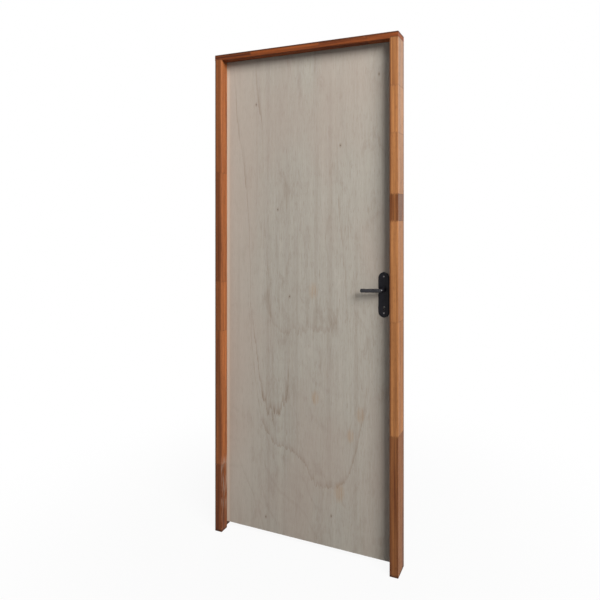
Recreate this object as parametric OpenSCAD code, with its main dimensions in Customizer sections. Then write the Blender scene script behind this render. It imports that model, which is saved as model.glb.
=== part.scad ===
// Flush interior door hung in a rebated hardwood frame.
// X runs from the hinge side to the lock side, +Y towards the side that the leaf opens to, +Z up.
// The origin is on the hinge jamb's wall face, at floor level and mid depth.

/* [Leaf] */
// Width of the leaf
leaf_w = 800; // [600:1:1000]
// Height of the leaf
leaf_h = 2100; // [1900:1:2400]
// Thickness of the leaf
leaf_t = 35; // [33:0.5:45]
// Thickness of each face veneer board
skin_t = 3; // [2:0.5:5]
// Width of the hinge and lock stiles
stile_w = 42; // [35:1:80]
// Height of the top and bottom rails
rail_h = 60; // [40:1:120]
// Bevel of the lock edge, in degrees
edge_bevel = 2.5; // [0:0.1:3]
// Gap between the leaf's edges and the frame
leaf_gap = 5.5; // [5:0.1:7]
// Height of the leaf's bottom edge over the frame's feet
undercut = 26; // [8:1:40]
// Gap between the leaf and the stop
stop_gap = 5; // [5:0.1:8]

/* [Frame] */
// Thickness of a jamb at its stop
jamb_t = 36; // [32:0.5:45]
// Thickness of the head
head_t = 26; // [22:0.5:45]
// Width of the stop, seen in the reveal in front of the leaf
stop_w = 40; // [25:1:60]
// Depth of the rebate that the leaf closes into
rebate_depth = 12; // [10:0.5:15]
// Depth of the housings in the head for the jambs
housing_depth = 6; // [3:0.5:9]
// Chamfer along the frame's front edges
arris = 1.5; // [0.5:0.1:3]

/* [Hinges] */
// Height of a butt hinge
hinge_h = 100; // [75:1:125]
// Width of a hinge plate from the leaf's face
hinge_reach = 30; // [24:0.5:32]
// Thickness of a hinge plate
hinge_plate_t = 2.5; // [2:0.1:3]
// Distance of the hinge pin's centre from the face of the leaf
pin_offset = 6; // [5.5:0.1:9]
// Distance of the top hinge from the leaf's top
hinge_top_drop = 160; // [120:5:250]
// Height of the bottom hinge over the leaf's bottom
hinge_bottom_rise = 220; // [150:5:300]
// Running clearance of the pin in its knuckles
pin_clearance = 0.05; // [0.02:0.01:0.1]
// Gap between one knuckle and the next
knuckle_gap = 0.4; // [0.2:0.1:0.8]
// Height of the pin's button heads
pin_head_h = 4; // [2:0.5:6]
// Number of screw holes in a hinge plate
hinge_screws = 4; // [3:1:5]
// Distance of the end screw holes from a hinge plate's ends
hinge_screw_end = 13; // [10:1:18]
// Distance of the screw holes from a hinge plate's long edge, in turn the first and the second
hinge_screw_near = 8; // [7:0.5:10]
hinge_screw_far = 20; // [16:0.5:22]
// Radius of a small screw hole
screw_r = 2.2; // [1.5:0.1:2.6]
// Radius of the countersink round a small screw hole
sink_r = 4.2; // [3:0.1:4.5]

/* [Lock] */
// Distance of the spindle from the leaf's lock edge
backset = 43; // [35:1:60]
// Height of the spindle over the frame's feet
spindle_z = 1121; // [950:1:1200]
// Distance of the keyhole below the spindle
keyhole_drop = 70; // [60:1:90]
// Distance of the lock's centre below the spindle
lock_drop = 26; // [15:1:40]
// Height of the lock case
case_h = 165; // [150:1:180]
// Depth of the lock case behind the forend
case_depth = 72; // [65:1:80]
// Thickness of the lock case
case_t = 14; // [12:0.5:16]
// Height of the forend
forend_h = 220; // [200:1:240]
// Width of the forend
forend_w = 20; // [18:0.5:22]
// Thickness of the forend
forend_t = 3; // [2:0.5:4]
// Height of the strike plate
strike_h = 180; // [160:1:200]
// Width of the strike plate
strike_w = 24; // [22:0.5:26]
// Thickness of the strike plate
strike_t = 2; // [1.5:0.5:3]
// Distance of the end screw holes from the ends of the forend and of the strike plate
lock_screw_end = 10; // [8:0.5:14]
// Height of the latch bolt's centre over the spindle
latch_rise = 16; // [10:1:25]
// Height of the latch bolt
latch_h = 26; // [20:1:34]
// Thickness of the latch bolt
latch_t = 10; // [8:0.5:11]
// Length of the latch bolt's sloping nose
latch_nose = 9; // [6:0.5:12]
// Distance of the dead bolt's centre below the spindle
dead_drop = 52; // [40:1:60]
// Height of the dead bolt
dead_h = 34; // [26:1:40]
// Thickness of the dead bolt
dead_t = 11; // [8:0.5:12]
// Length of the two bolts inside the lock
bolt_back = 28; // [20:1:40]
// Length of a drawn bolt that stands proud of the forend
bolt_show = 0.6; // [0:0.1:1]
// Depth of the pockets for the bolts in the lock jamb
pocket_depth = 16; // [12:1:22]
// Radius of the follower's hole, which the spindle turns in
follower_r = 6.5; // [6:0.1:8]
// Width of the block that the lock is let into
block_w = 92; // [85:1:140]
// Height of the block that the lock is let into
block_h = 320; // [240:10:500]

/* [Handle] */
// Height of a handle plate
plate_h = 183; // [160:1:240]
// Width of a handle plate
plate_w = 47; // [40:0.5:50]
// Thickness of a handle plate's rim
plate_rim_t = 1.6; // [1:0.1:3]
// Height of a handle plate's raised field over its rim
plate_rise = 1.6; // [0.5:0.1:3]
// Slope of the raised field's sides, measured across the plate
plate_bevel = 2.4; // [1:0.1:4]
// Distance of the plate's centre below the spindle
plate_drop = 20; // [10:1:40]
// Distance between a plate's two screws
screw_span = 148; // [120:1:150]
// Radius of the round part of the keyhole
keyhole_r = 4.2; // [3:0.1:5]
// Width of the slot of the keyhole
keyhole_slot_w = 4.4; // [3:0.1:5]
// Length of the slot of the keyhole from the centre of its round part
keyhole_slot_l = 12; // [8:0.5:14]
// Radius of the collar round the journal
collar_r = 12.5; // [12.5:0.5:16]
// Height of the collar over the plate
collar_h = 3; // [1:0.5:6]
// Distance of the lever's centre line from the leaf's face
lever_reach = 30; // [30:1:60]
// Length of the lever from the spindle to the tip
lever_l = 90.5; // [75:0.5:140]
// Radius of the lever's bar
bar_r = 8; // [6:0.1:9]
// Chamfer round the lever's flat tip
tip_chamfer = 1.2; // [0.5:0.1:3]
// Slope of the lever below level at rest, in degrees
lever_droop = 2.5; // [0:0.5:10]
// Bend radius of the lever's elbow
elbow_r = 9; // [9:0.5:20]
// Radius of the lever's journal in its plate
journal_r = 9.5; // [9:0.1:11]
// Length of the taper from the journal to the lever's bar
shoulder_l = 4; // [2:0.5:8]
// Running clearance of the journal in its plate
journal_clearance = 0.08; // [0.03:0.01:0.1]
// Width of the square spindle
spindle_w = 8; // [7:0.5:8.5]
// Depth that the spindle reaches into a lever, from the leaf's face
socket_depth = 20; // [15:1:30]

/* [Hidden] */
$fn = 64;

// Overshoot of a cut past the face that it leaves through
cut = 1;

// Frame
rebate_w = stop_gap + leaf_t;
frame_d = stop_w + rebate_w;
thin_t = jamb_t - rebate_depth;
frame_w = leaf_w + 2 * leaf_gap + 2 * thin_t;
frame_h = undercut + leaf_h + leaf_gap + head_t - rebate_depth;
jamb_h = frame_h - head_t + housing_depth;
y_front = -frame_d / 2;
y_stop = y_front + stop_w;
y_back = frame_d / 2;

// Leaf
x_hinge_edge = thin_t + leaf_gap;
x_lock_edge = x_hinge_edge + leaf_w;
y_leaf = y_stop + stop_gap;
y_core = y_leaf + skin_t;
y_core_back = y_back - skin_t;
z_leaf = undercut;
z_leaf_top = undercut + leaf_h;

// Hinges
pin_x = thin_t + leaf_gap / 2;
pin_y = y_back + pin_offset;
knuckle_bore_r = leaf_gap / 2;
knuckle_r = knuckle_bore_r + hinge_plate_t;
pin_r = knuckle_bore_r - pin_clearance;
knuckles = 5;
knuckle_h = (hinge_h - (knuckles - 1) * knuckle_gap) / knuckles;
z_hinge_top = z_leaf_top - hinge_top_drop - hinge_h;
z_hinge_bottom = z_leaf + hinge_bottom_rise;
z_hinge_middle = (z_hinge_top + z_hinge_bottom) / 2;
hinge_places = [z_hinge_top, z_hinge_middle, z_hinge_bottom];

// Lock
spindle_x = x_lock_edge - backset;
y_lock = y_leaf + leaf_t / 2;
x_strike = frame_w - thin_t;
forend_x = bevel_x(y_lock - forend_w / 2);
lock_centre_z = spindle_z - lock_drop;
case_x = forend_x - forend_t - case_depth;
bolt_clearance = 0.3;
case_clearance = 0.5;
forend_clearance = 0.1;
pocket_clearance = 1.5;

// Handle
plate_r = plate_w / 2;
plate_t = plate_rim_t + plate_rise;
plate_z = spindle_z - plate_drop;
keyhole_z = spindle_z - keyhole_drop;
// Clearance of the holes through the leaf round the journals and the keyhole
hole_clearance = 0.5;
socket_clearance = 0.05;
// Gap between the end of a lever's journal and the leaf's face
journal_gap = 0.4;

// X of the bevelled lock edge at a depth y in the leaf
function bevel_x(y) = x_lock_edge - (y_back - y) * tan(edge_bevel);

// Upright piece of the given outline in X and Y
module upright(z0, z1, outline) translate([0, 0, z0]) linear_extrude(z1 - z0) polygon(outline);

// Box between two corners
module box(a, b) translate(a) cube(b - a);

// Round bar along Y from y0 to y1
module bar_y(x, z, r, y0, y1) translate([x, y0, z]) rotate([-90, 0, 0]) cylinder(r = r, h = y1 - y0);

// Countersunk hole along X through a plate of the given thickness. Its wide mouth is at the place,
// and the hole runs from there in +X when side is -1, and in -X when side is 1.
module screw_hole(place, side, t) {
    sink_h = sink_r - screw_r;
    translate(place) rotate([0, side * -90, 0]) {
        translate([0, 0, -cut]) cylinder(r = screw_r, h = t + 2 * cut);
        cylinder(r1 = sink_r, r2 = screw_r, h = sink_h);
        translate([0, 0, -cut]) cylinder(r = sink_r, h = cut);
    }
}

// Frame

function jamb_outline() = [[arris, y_front], [jamb_t - arris, y_front], [jamb_t, y_front + arris],
    [jamb_t, y_stop], [thin_t, y_stop], [thin_t, y_back], [0, y_back], [0, y_front + arris]];

// The lock side's pieces are drawn as on the hinge side and mirrored
module on_lock_side() translate([frame_w, 0, 0]) mirror([1, 0, 0]) children();

module hinge_jamb() {
    color("saddlebrown") difference() {
        upright(0, jamb_h, jamb_outline());
        for (z = hinge_places)
            box([thin_t - hinge_plate_t, y_back - hinge_reach, z], [thin_t + cut, y_back + cut, z + hinge_h]);
    }
}

// Space of the strike plate, from the jamb's face out to a distance beyond it
module strike_space(beyond) {
    box([x_strike - beyond, y_lock - strike_w / 2, lock_centre_z - strike_h / 2],
        [x_strike + strike_t, y_lock + strike_w / 2, lock_centre_z + strike_h / 2]);
}

// Pockets in the lock jamb for the two bolts, and the windows of the same size in the strike plate
module bolt_pockets() {
    bolt_pocket(latch_rise, latch_h, latch_t);
    bolt_pocket(-dead_drop, dead_h, dead_t);
}

module bolt_pocket(rise, h, t) {
    c = pocket_clearance;
    box([x_strike - cut, y_lock - t / 2 - c, spindle_z + rise - h / 2 - c],
        [x_strike + pocket_depth, y_lock + t / 2 + c, spindle_z + rise + h / 2 + c]);
}

module lock_jamb() {
    color("saddlebrown") difference() {
        on_lock_side() upright(0, jamb_h, jamb_outline());
        strike_space(cut);
        bolt_pockets();
    }
}

module strike_plate() {
    color("silver") difference() {
        strike_space(0);
        bolt_pockets();
        for (s = [-1, 1])
            screw_hole([x_strike, y_lock, lock_centre_z + s * (strike_h / 2 - lock_screw_end)], -1, strike_t);
    }
}

module head() {
    z0 = frame_h - head_t;
    outline = [[y_front + arris, z0], [y_back, z0], [y_back, frame_h], [y_front + arris, frame_h],
        [y_front, frame_h - arris], [y_front, z0 + arris]];
    color("saddlebrown") difference() {
        rotate([90, 0, 90]) linear_extrude(frame_w) polygon(outline);
        box([thin_t, y_stop, z0 - cut], [frame_w - thin_t, y_back + cut, z0 + rebate_depth]);
        upright(z0 - cut, jamb_h, jamb_outline());
        on_lock_side() upright(z0 - cut, jamb_h, jamb_outline());
    }
}

// Hinges

// One half of a butt hinge at height z, with its plate from x_plate on in X. The first knuckle given and
// every second one after it belong to this half. The screws go in from the side of the gap.
module hinge_half(z, x_plate, first, side) {
    x_mouth = side > 0 ? x_plate + hinge_plate_t : x_plate;
    pitch = (hinge_h - 2 * hinge_screw_end) / (hinge_screws - 1);
    difference() {
        union() {
            box([x_plate, y_back - hinge_reach, z], [x_plate + hinge_plate_t, y_back, z + hinge_h]);
            for (i = [first:2:knuckles - 1])
                translate([0, 0, z + i * (knuckle_h + knuckle_gap)]) {
                    translate([pin_x, pin_y, 0]) cylinder(r = knuckle_r, h = knuckle_h);
                    box([x_plate, y_back - cut, 0], [x_plate + hinge_plate_t, pin_y, knuckle_h]);
                }
        }
        translate([pin_x, pin_y, z - cut]) cylinder(r = knuckle_bore_r, h = hinge_h + 2 * cut);
        for (i = [0:hinge_screws - 1]) {
            from_edge = i % 2 == 0 ? hinge_screw_near : hinge_screw_far;
            screw_hole([x_mouth, y_back - hinge_reach + from_edge, z + hinge_screw_end + i * pitch], side,
                hinge_plate_t);
        }
    }
}

module frame_hinge(z) color("silver") hinge_half(z, thin_t - hinge_plate_t, 0, 1);

module leaf_hinge(z) color("silver") hinge_half(z, x_hinge_edge, 1, -1);

module hinge_pin(z) {
    color("gray") translate([pin_x, pin_y, z]) {
        cylinder(r = pin_r, h = hinge_h);
        translate([0, 0, hinge_h]) cylinder(r1 = knuckle_r, r2 = knuckle_r / 2, h = pin_head_h);
        translate([0, 0, -pin_head_h]) cylinder(r1 = knuckle_r / 2, r2 = knuckle_r, h = pin_head_h);
    }
}

module frame_hinge_top() frame_hinge(z_hinge_top);
module frame_hinge_middle() frame_hinge(z_hinge_middle);
module frame_hinge_bottom() frame_hinge(z_hinge_bottom);
module leaf_hinge_top() leaf_hinge(z_hinge_top);
module leaf_hinge_middle() leaf_hinge(z_hinge_middle);
module leaf_hinge_bottom() leaf_hinge(z_hinge_bottom);
module hinge_pin_top() hinge_pin(z_hinge_top);
module hinge_pin_middle() hinge_pin(z_hinge_middle);
module hinge_pin_bottom() hinge_pin(z_hinge_bottom);

// Leaf

// Recesses in the leaf's hinge edge
module leaf_hinge_recesses() {
    for (z = hinge_places)
        box([x_hinge_edge - cut, y_back - hinge_reach, z],
            [x_hinge_edge + hinge_plate_t, y_back + cut, z + hinge_h]);
}

// Hole through the leaf for the levers' journals and the spindle, and the one for the key
module handle_holes() {
    bar_y(spindle_x, spindle_z, journal_r + hole_clearance, y_leaf - cut, y_back + cut);
    bar_y(spindle_x, keyhole_z - (keyhole_slot_l - keyhole_r) / 2, (keyhole_slot_l + keyhole_r) / 2 + hole_clearance,
        y_leaf - cut, y_back + cut);
}

// Space that the lock case, its bolts and its forend take up in the leaf's edge
module lock_mortise() {
    c = case_clearance;
    box([case_x - c, y_lock - case_t / 2 - c, lock_centre_z - case_h / 2 - c],
        [forend_x + cut, y_lock + case_t / 2 + c, lock_centre_z + case_h / 2 + c]);
    forend_outline(forend_x - forend_t, forend_x + 2 * cut, forend_clearance);
}

module skin(y0, y1) {
    difference() {
        upright(z_leaf, z_leaf_top, [[x_hinge_edge, y0], [bevel_x(y0), y0], [bevel_x(y1), y1], [x_hinge_edge, y1]]);
        leaf_hinge_recesses();
        handle_holes();
    }
}

module front_skin() color("tan") skin(y_leaf, y_core);

module back_skin() color("tan") skin(y_core_back, y_back);

module hinge_stile() {
    color("burlywood") difference() {
        box([x_hinge_edge, y_core, z_leaf], [x_hinge_edge + stile_w, y_core_back, z_leaf_top]);
        leaf_hinge_recesses();
    }
}

module lock_stile() {
    x0 = x_lock_edge - stile_w;
    color("burlywood") difference() {
        upright(z_leaf, z_leaf_top,
            [[x0, y_core], [bevel_x(y_core), y_core], [bevel_x(y_core_back), y_core_back], [x0, y_core_back]]);
        lock_mortise();
        handle_holes();
    }
}

module rail(z) box([x_hinge_edge + stile_w, y_core, z], [x_lock_edge - stile_w, y_core_back, z + rail_h]);

module top_rail() color("burlywood") rail(z_leaf_top - rail_h);

module bottom_rail() color("burlywood") rail(z_leaf);

// Outline of the block that the lock is let into
module block_space(grow) {
    x1 = x_lock_edge - stile_w;
    box([x1 - block_w, y_core - grow, lock_centre_z - block_h / 2],
        [x1 + grow, y_core_back + grow, lock_centre_z + block_h / 2]);
}

module lock_block() {
    color("burlywood") difference() {
        block_space(0);
        lock_mortise();
        handle_holes();
    }
}

module core() {
    color("wheat") difference() {
        box([x_hinge_edge + stile_w, y_core, z_leaf + rail_h],
            [x_lock_edge - stile_w, y_core_back, z_leaf_top - rail_h]);
        block_space(cut);
    }
}

// Lock

// Forend with round ends, from x0 to x1, grown by a clearance
module forend_outline(x0, x1, grow) {
    r = forend_w / 2 + grow;
    half = (forend_h - forend_w) / 2;
    box([x0, y_lock - r, lock_centre_z - half], [x1, y_lock + r, lock_centre_z + half]);
    for (s = [-1, 1])
        translate([x0, y_lock, lock_centre_z + s * half]) rotate([0, 90, 0]) cylinder(r = r, h = x1 - x0);
}

// Window that a bolt slides in
module bolt_window(rise, h, t) {
    c = bolt_clearance;
    box([forend_x - bolt_back, y_lock - t / 2 - c, spindle_z + rise - h / 2 - c],
        [forend_x + cut, y_lock + t / 2 + c, spindle_z + rise + h / 2 + c]);
}

module lock_case() {
    color("silver") difference() {
        box([case_x, y_lock - case_t / 2, lock_centre_z - case_h / 2],
            [forend_x - forend_t, y_lock + case_t / 2, lock_centre_z + case_h / 2]);
        bar_y(spindle_x, spindle_z, follower_r, y_leaf, y_back);
        keyhole(y_leaf, y_back);
        bolt_window(latch_rise, latch_h, latch_t);
        bolt_window(-dead_drop, dead_h, dead_t);
    }
}

module lock_forend() {
    color("silver") difference() {
        forend_outline(forend_x - forend_t, forend_x, 0);
        bolt_window(latch_rise, latch_h, latch_t);
        bolt_window(-dead_drop, dead_h, dead_t);
        for (s = [-1, 1])
            screw_hole([forend_x, y_lock, lock_centre_z + s * (forend_h / 2 - lock_screw_end)], 1, forend_t);
    }
}

// Bolt drawn back until its end stands just proud of the forend. Its nose slopes back towards the stop.
module bolt(rise, h, t, nose) {
    x0 = forend_x - bolt_back;
    x1 = forend_x + bolt_show;
    y0 = y_lock - t / 2;
    y1 = y_lock + t / 2;
    upright(spindle_z + rise - h / 2, spindle_z + rise + h / 2, [[x0, y0], [x1 - nose, y0], [x1, y1], [x0, y1]]);
}

module latch_bolt() color("silver") bolt(latch_rise, latch_h, latch_t, latch_nose);

module dead_bolt() color("silver") bolt(-dead_drop, dead_h, dead_t, 0);

// Handle

// Puts a piece made for the front face on the leaf's back face
module on_back() translate([0, y_leaf + y_back, 0]) mirror([0, 1, 0]) children();

// Round-ended slab with sloping sides, from r at its back to r - slope at its front
module round_slab(r, slope, y0, t) {
    half = plate_h / 2 - plate_r;
    for (s = [-1, 1])
        translate([spindle_x, y0, plate_z + s * half]) rotate([90, 0, 0]) cylinder(r1 = r, r2 = r - slope, h = t);
    translate([spindle_x, y0, plate_z - half]) linear_extrude(2 * half)
        polygon([[-r, 0], [r, 0], [r - slope, -t], [slope - r, -t]]);
}

// Keyhole from y0 to y1
module keyhole(y0, y1) {
    bar_y(spindle_x, keyhole_z, keyhole_r, y0, y1);
    box([spindle_x - keyhole_slot_w / 2, y0, keyhole_z - keyhole_slot_l],
        [spindle_x + keyhole_slot_w / 2, y1, keyhole_z]);
}

module handle_plate() {
    y_face = y_leaf - plate_t;
    color([0.16, 0.15, 0.18]) difference() {
        union() {
            round_slab(plate_r, 0, y_leaf, plate_rim_t);
            round_slab(plate_r - plate_bevel / 2, plate_bevel, y_leaf - plate_rim_t, plate_rise);
            bar_y(spindle_x, spindle_z, collar_r, y_face - collar_h, y_leaf - plate_rim_t);
        }
        bar_y(spindle_x, spindle_z, journal_r + journal_clearance, y_face - collar_h - cut, y_leaf + cut);
        keyhole(y_face - cut, y_leaf + cut);
        for (s = [-1, 1])
            bar_y(spindle_x, plate_z + s * screw_span / 2, screw_r, y_face - cut, y_leaf + cut);
    }
}

module front_plate() handle_plate();

module back_plate() on_back() handle_plate();

// Lever with its journal, neck, elbow and grip
module lever() {
    y_elbow = y_leaf - lever_reach + elbow_r;
    y_shoulder = y_leaf - plate_t - collar_h;
    grip_l = lever_l - elbow_r - tip_chamfer;
    color([0.16, 0.15, 0.18]) difference() {
        translate([spindle_x, 0, spindle_z]) rotate([0, -lever_droop, 0]) {
            bar_y(0, 0, journal_r, y_shoulder, y_leaf - journal_gap);
            translate([0, y_shoulder, 0]) rotate([90, 0, 0]) cylinder(r1 = journal_r, r2 = bar_r, h = shoulder_l);
            bar_y(0, 0, bar_r, y_elbow, y_shoulder - shoulder_l);
            translate([-elbow_r, y_elbow, 0]) rotate([0, 0, -90])
                rotate_extrude(angle = 90) translate([elbow_r, 0]) circle(r = bar_r);
            translate([-elbow_r, y_elbow - elbow_r, 0]) rotate([0, -90, 0]) {
                cylinder(r = bar_r, h = grip_l);
                translate([0, 0, grip_l]) cylinder(r1 = bar_r, r2 = bar_r - tip_chamfer, h = tip_chamfer);
            }
        }
        spindle_bar(socket_clearance, y_leaf - socket_depth, y_leaf + cut);
    }
}

// Square bar along Y, grown by a clearance
module spindle_bar(grow, y0, y1) {
    half = spindle_w / 2 + grow;
    box([spindle_x - half, y0, spindle_z - half], [spindle_x + half, y1, spindle_z + half]);
}

module front_lever() lever();

module back_lever() on_back() lever();

module spindle() color("gray") spindle_bar(0, y_leaf - socket_depth, y_back + socket_depth);

hinge_jamb();
lock_jamb();
head();
strike_plate();
frame_hinge_top();
frame_hinge_middle();
frame_hinge_bottom();
hinge_pin_top();
hinge_pin_middle();
hinge_pin_bottom();
front_skin();
back_skin();
hinge_stile();
lock_stile();
top_rail();
bottom_rail();
core();
lock_block();
leaf_hinge_top();
leaf_hinge_middle();
leaf_hinge_bottom();
lock_case();
lock_forend();
latch_bolt();
dead_bolt();
front_plate();
back_plate();
front_lever();
back_lever();
spindle();
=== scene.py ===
"""A prehung interior door: a raw veneered leaf in an oiled, finger jointed hardwood frame."""
import math

import bmesh
import bpy
from mathutils import Matrix, Vector


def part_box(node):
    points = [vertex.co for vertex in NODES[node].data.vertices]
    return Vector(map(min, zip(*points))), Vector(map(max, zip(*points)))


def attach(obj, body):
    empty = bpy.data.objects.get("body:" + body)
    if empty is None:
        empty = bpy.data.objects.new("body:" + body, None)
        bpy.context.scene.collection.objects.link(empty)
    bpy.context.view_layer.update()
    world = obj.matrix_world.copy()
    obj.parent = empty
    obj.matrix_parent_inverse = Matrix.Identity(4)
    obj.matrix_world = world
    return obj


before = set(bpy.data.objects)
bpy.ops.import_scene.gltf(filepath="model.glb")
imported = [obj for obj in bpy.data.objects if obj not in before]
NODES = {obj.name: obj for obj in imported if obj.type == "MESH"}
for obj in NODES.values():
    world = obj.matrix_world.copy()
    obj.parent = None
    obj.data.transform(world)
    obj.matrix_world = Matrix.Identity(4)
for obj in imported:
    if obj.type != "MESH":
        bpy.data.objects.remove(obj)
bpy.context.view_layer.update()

# Places on the door, in metres.
FRAME_WIDTH = 0.859
FRAME_HEIGHT = 2.1455
FRAME_BACK = 0.040
JAMB_HEIGHT = 2.1255
LEAF_HINGE_EDGE = 0.0295
LEAF_LOCK_EDGE = 0.8295
HINGE_BOTTOMS = {"top": 1.866, "middle": 1.056, "bottom": 0.246}
HINGE_SCREWS = 4
HINGE_SCREW_FIRST = 0.013
HINGE_SCREW_PITCH = 0.0246667
HINGE_SCREW_DEPTHS = (0.018, 0.030)
FRAME_HINGE_MOUTH = 0.024
LEAF_HINGE_MOUTH = 0.0295
PLATE_SCREW_X = 0.7865
PLATE_SCREW_REACH = 0.074
FRONT_PLATE_FACE = 0.0018
BACK_PLATE_FACE = 0.0432
LOCK_DEPTH = 0.0225
FOREND_SCREW_REACH = 0.100
STRIKE_SCREW_REACH = 0.080

# Screws, in metres. A profile goes from the head's rim down the shank, as (radius, height).
SUNK_HEAD = ((0.0039, -0.0002), (0.0040, -0.0004), (0.0021, -0.0022), (0.0021, -0.0060))
DOMED_HEAD = ((0.0021, 0.0012), (0.0028, 0.0009), (0.0033, 0.0004), (0.0034, 0.0),
              (0.0021, -0.0004), (0.0021, -0.0040))
RECESS_REACH = 0.0019
RECESS_HALF = 0.0004
RECESS_DEPTH = 0.0012
RECESS_FLOOR_REACH = 0.45 * RECESS_REACH
RECESS_FLOOR_HALF = 0.6 * RECESS_HALF
RIM_POINTS = 24
FIRST_TURN = 0.7
NEXT_TURN = 1.9
SMOOTH_BELOW = math.radians(32)

# Finishes, as sRGB.
LIGHT_HARDWOOD = (180, 122, 74)
DARK_HARDWOOD = (84, 40, 16)
LIGHT_RED_HARDWOOD = (186, 114, 66)
DARK_RED_HARDWOOD = (70, 28, 10)
LIGHT_HEAD_WOOD = (172, 92, 44)
DARK_HEAD_WOOD = (64, 24, 8)
GLUE_AND_PAINTED_SHADOW = (52, 28, 16)
GLUE_SMEAR = (190, 176, 160)
RAW_VENEER = (174, 169, 160)
VENEER_STREAK = (154, 146, 134)
CREAM_TONE_AND_PAINTED_LIGHT = (192, 186, 176)
VENEER_PINK = (170, 155, 144)
VENEER_PAINTED_LIGHT = (198, 185, 173)
PAINTED_BOUNCE_LIGHT = (222, 201, 180)
VENEER_BROWN = (118, 96, 78)
GROWTH_BROWN = (120, 94, 72)
VENEER_RUST = (164, 132, 98)
KNOT_BROWN = (74, 52, 38)
PLY_CORE = (150, 116, 82)
RAW_SOFTWOOD = (206, 178, 136)
SOFTWOOD_LATEWOOD = (168, 126, 80)
CHIP_LIGHT = (190, 160, 118)
CHIP_DARK = (120, 88, 56)
ZINC = (176, 178, 182)
LOCK_PLATING = (190, 188, 182)
BLACK_COAT = (20, 19, 25)
WORN_COAT = (92, 92, 100)
SCREW_PLATING = (206, 204, 200)
DARK_NICKEL = (128, 124, 124)

# How far each finish's relief stands, in metres, and its shine.
WOOD_RELIEF = 0.00018
WOOD_SHINE = 0.17
VENEER_RELIEF = 0.00012
VENEER_SHINE = 0.2
SAWN_RELIEF = 0.00025
CHIP_RELIEF = 0.0004
STEEL_RELIEF = 0.00002
LACQUER_RELIEF = 0.00003
PLATE_SHINE = 0.14
LEVER_SHINE = 0.40

# Roughness of each finish, from its smoothest to its dullest spots.
WOOD_ROUGHNESS = (0.45, 0.60)
VENEER_ROUGHNESS = (0.62, 0.76)
SAWN_ROUGHNESS = (0.66, 0.80)
CHIP_ROUGHNESS = (0.70, 0.85)
ZINC_ROUGHNESS = (0.26, 0.44)
LOCK_ROUGHNESS = (0.22, 0.40)
SCREW_ROUGHNESS = (0.18, 0.34)
NICKEL_ROUGHNESS = (0.26, 0.40)
PLATE_ROUGHNESS = (0.26, 0.42)
LEVER_ROUGHNESS = (0.16, 0.28)

# Rubbed edges: their width in metres, how fine their patches are, and how strongly they show. The
# wood's are wide and strong enough to stand as a painted highlight along its arrises.
WOOD_WEAR_AND_PAINTED_HIGHLIGHT = (0.0030, 38.0, 0.55)
STEEL_WEAR = (0.0006, 140.0, 0.6)
LACQUER_WEAR = (0.0009, 120.0, 0.4)

# Noises, drawn out across, through and along the grain. A larger number is finer.
WOOD_BANDS = (26, 26, 0.9)
WOOD_STREAKS = (190, 190, 3.2)
WOOD_PORES = (1300, 1300, 42)
DARKENING_PATCHES = (8, 8, 8)
SMEAR_PATCHES = (60, 60, 9)
SOFTWOOD_RINGS = (90, 260, 1.2)
SAW_MARKS = (30, 30, 700)
GROWTH_BREAKS = (110, 1, 5)
GROWTH_WANDER = (6, 1, 2.6)
RING_DRIFT = (2.6, 1, 1.1)
RING_PATCHES = (7, 1, 2.4)
SCRATCHES = (1600, 220, 160)
BRUSHED_LAY = (900, 900, 60)
DRIFT_SCALE = 14.0
SPECK_SCALE = 420.0
CHIP_SCALE = 260.0
PEEL_SCALE = 900.0

# The hardwood: its finger joints, and how strongly each trace of use or growth shows.
FINGER_WIDTH = 0.0032
FINGER_SLOPE = 2.6
JOINT_LINE = 0.0007
STREAK_WEIGHT = 1.3
BAND_WEIGHT = 0.9
PORE_STRENGTH = 0.55
JOINT_STRENGTH = 0.75
SMEAR_STRENGTH = 0.38
WOOD_DUST = 0.22
LACQUER_DUST = 0.12
LENGTH_SHIFT = 3.7

# Darkened edges and feet, a painted shadow at each jamb's top under the head, and glue smears:
# where each starts and is full, in metres, with its lowest and highest strength.
EDGE_DARKENING = (0.0062, 0.0020, 0.0, 0.72)
FOOT_DARKENING = (0.010, 0.001, 0.0, 0.70)
JOINT_PAINTED_SHADOW = (JAMB_HEIGHT - 0.0035, JAMB_HEIGHT - 0.0015, 0.0, 0.85)
DARKENING_UNEVEN = 0.004
SMEAR_TOP = (0.345, 0.30)
SMEAR_FOOT = (0.03, 0.16)
SMEAR_REVEAL = (0.030, 0.0355)

# Heights at which the lengths of a member are joined, each with the tone of the length above it.
LOCK_JAMB_LENGTHS = ((0.0, 0.28), (0.5565, 0.66), (1.005, 0.70), (1.404, 0.20), (1.510, 0.62),
                     (1.7505, 0.70), (1.938, 0.58))
HINGE_JAMB_LENGTHS = ((0.0, 0.28), (0.306, 0.56), (0.909, 0.64), (1.1295, 0.54), (1.62, 0.56))
HEAD_LENGTHS = ((0.0, 0.24), (0.19, 0.36), (0.52, 0.27), (0.73, 0.44))

# Painted shade on each jamb's front face: where the dark band ends and starts, across, and its
# strength.
HINGE_JAMB_PAINTED_SHADE = (0.029, 0.025, 0.42)
LOCK_JAMB_PAINTED_SHADE = (0.8305, 0.8262, 0.80)
# Painted light: how much paler the lock jamb's outer side is painted at its top, and the heights
# over which it grows.
LOCK_JAMB_PAINTED_LIGHT = 0.22
PAINTED_LIGHT_HEIGHTS = (0.9, 2.0)

# The veneer's figure: how each noise is drawn out, its detail, its roughness and its warp.
VENEER_FIGURE = {
    "spikes": ((95, 1, 3), 4, 0.65, 0.0),
    "fine": ((330, 1, 7.0), 4, 0.70, 0.2),
    "fibres": ((1100, 1, 26), 2, 0.60, 0.0),
    "long_streaks": ((34, 1, 0.55), 3, 0.55, 0.25),
    "clouds": ((4.0, 1, 1.4), 3, 0.50, 0.0),
    "blotches": ((17, 1, 5.5), 5, 0.72, 0.5),
    "flecks": ((300, 1, 26), 3, 0.60, 0.4)}

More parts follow.
